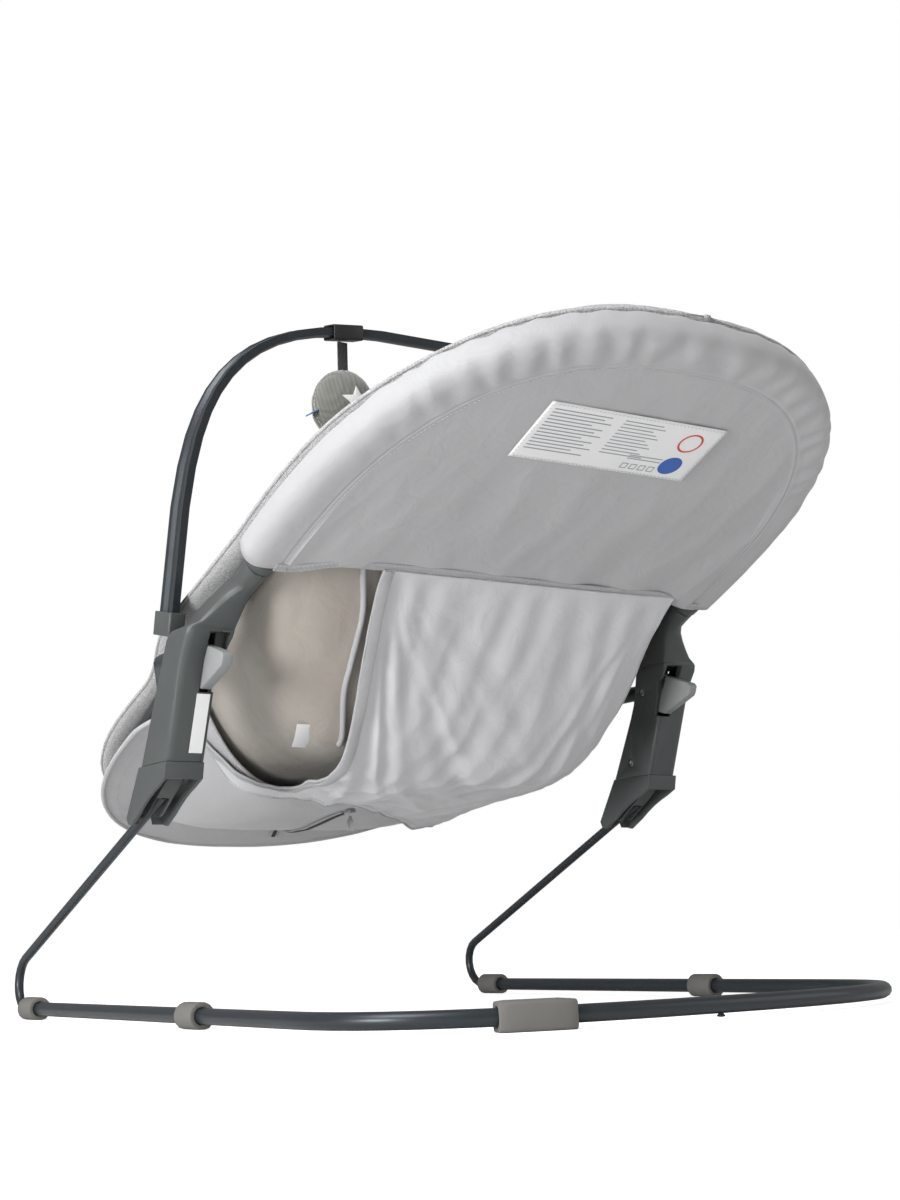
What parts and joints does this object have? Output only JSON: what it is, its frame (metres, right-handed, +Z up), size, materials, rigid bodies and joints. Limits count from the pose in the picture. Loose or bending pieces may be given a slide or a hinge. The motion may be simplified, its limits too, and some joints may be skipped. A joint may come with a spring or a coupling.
{
  "type": "baby bouncer seat",
  "caption": "Baby bouncer: padded reclining seat between two side housings on sprung arms from a U-shaped floor frame, with a pull-off toy bar and hanging toys.",
  "frame": {"origin": "centre of the whole outline, on the floor", "axes": "+X is the seat's width, +Y points from the foot end to the head end, +Z is up"},
  "size_m": [0.515, 0.7678, 0.5659],
  "materials": {
    "frame_paint": "satin powder coat",
    "rubber": "matte",
    "dark_plastic": "satin moulded",
    "trigger_plastic": "satin moulded",
    "steel": "zinc plated",
    "black_plastic": "satin moulded",
    "melange_knit": "padded melange knit",
    "grey_polyester": "smooth woven",
    "taupe_satin": "quilted satin",
    "webbing": "woven tape",
    "label_white": "smooth woven",
    "plush": "short pile"
  },
  "bodies": {
    "base": {"floor_tube": "frame_paint", "tube_plug": "black_plastic", "front_foot_left": "rubber", "front_foot_right": "rubber", "middle_foot_left": "rubber", "middle_foot_right": "rubber", "rear_pad": "rubber"},
    "arms": {"spring_arm_left": "frame_paint", "spring_arm_right": "frame_paint", "arm_bracket_left": "dark_plastic", "arm_bracket_right": "dark_plastic", "recline_sector_left": "dark_plastic", "recline_sector_right": "dark_plastic"},
    "seat": {"pivot_pin_left": "steel", "pivot_pin_right": "steel", "housing_left": "dark_plastic", "housing_right": "dark_plastic", "housing_cover_left": "dark_plastic", "housing_cover_right": "dark_plastic", "cover_screw_left_upper": "steel", "cover_screw_left_lower": "steel", "cover_screw_right_upper": "steel", "cover_screw_right_lower": "steel", "pivot_cap_left": "dark_plastic", "pivot_cap_right": "dark_plastic", "tube_collar_left": "dark_plastic", "tube_collar_right": "dark_plastic", "trigger_spring_left": "steel", "trigger_spring_right": "steel", "rating_label": "label_white", "back_tube": "frame_paint", "leg_tube": "frame_paint", "seat_pad": "melange_knit", "seat_sling": "taupe_satin", "back_cover": "grey_polyester", "foot_pocket": "grey_polyester", "rear_apron": "grey_polyester", "care_label": "label_white", "crotch_strap": "webbing", "waist_strap_left": "webbing", "waist_strap_right": "webbing", "buckle_body": "black_plastic", "bar_socket_left": "dark_plastic", "bar_socket_right": "dark_plastic", "zip_slider": "steel"},
    "trigger_left": {"trigger_left": "trigger_plastic", "latch_bar_left": "steel"},
    "trigger_right": {"trigger_right": "trigger_plastic", "latch_bar_right": "steel"},
    "toy_bar": {"toy_bar": "frame_paint", "toy_clip_left": "dark_plastic", "toy_clip_right": "dark_plastic"},
    "toy_left": {"toy_strap_left": "webbing", "toy_left": "plush"},
    "toy_right": {"toy_strap_right": "webbing", "toy_right": "plush"},
    "buckle_button": {"buckle_button": "trigger_plastic"},
    "zip_pull": {"zip_pull": "steel"}
  },
  "joints": [
    {"name": "bounce", "type": "hinge", "parent": "base", "child": "arms", "pos_m": [0, -0.28054, 0.0095], "axis": [1, 0, 0], "range_deg": [-3, 3], "stiffness_Nm_per_rad": 230, "springref_deg": 1.72},
    {"name": "recline", "type": "hinge", "parent": "arms", "child": "seat", "pos_m": [0, -0.00404, 0.1915], "axis": [-1, 0, 0], "range_deg": [0, 30]},
    {"name": "toy_bar_slide", "type": "slide", "parent": "seat", "child": "toy_bar", "axis": [0, 0.225, 0.9744], "range_m": [0, 0.03]},
    {"name": "buckle_press", "type": "slide", "parent": "seat", "child": "buckle_button", "axis": [0, 0.1546, -0.988], "range_m": [0, 0.002], "stiffness_N_per_m": 400},
    {"name": "zip_pull_swing", "type": "hinge", "parent": "seat", "child": "zip_pull", "pos_m": [0.02, -0.10489, 0.1691], "axis": [1, 0, 0], "range_deg": [-35, 35]},
    {"name": "trigger_left_slide", "type": "slide", "parent": "seat", "child": "trigger_left", "axis": [0, 0.3396, 0.9406], "range_m": [0, 0.01], "stiffness_N_per_m": 300, "springref_m": -0.002, "deforming": ["trigger_spring_left"]},
    {"name": "toy_left_swing", "type": "hinge", "parent": "toy_bar", "child": "toy_left", "pos_m": [0.108, 0.04957, 0.54922], "axis": [1, 0, 0], "range_deg": [-40, 40]},
    {"name": "trigger_right_slide", "type": "slide", "parent": "seat", "child": "trigger_right", "axis": [0, 0.3396, 0.9406], "range_m": [0, 0.01], "stiffness_N_per_m": 300, "springref_m": -0.002, "deforming": ["trigger_spring_right"]},
    {"name": "toy_right_swing", "type": "hinge", "parent": "toy_bar", "child": "toy_right", "pos_m": [-0.108, 0.04957, 0.54922], "axis": [1, 0, 0], "range_deg": [-40, 40]}
  ]
}
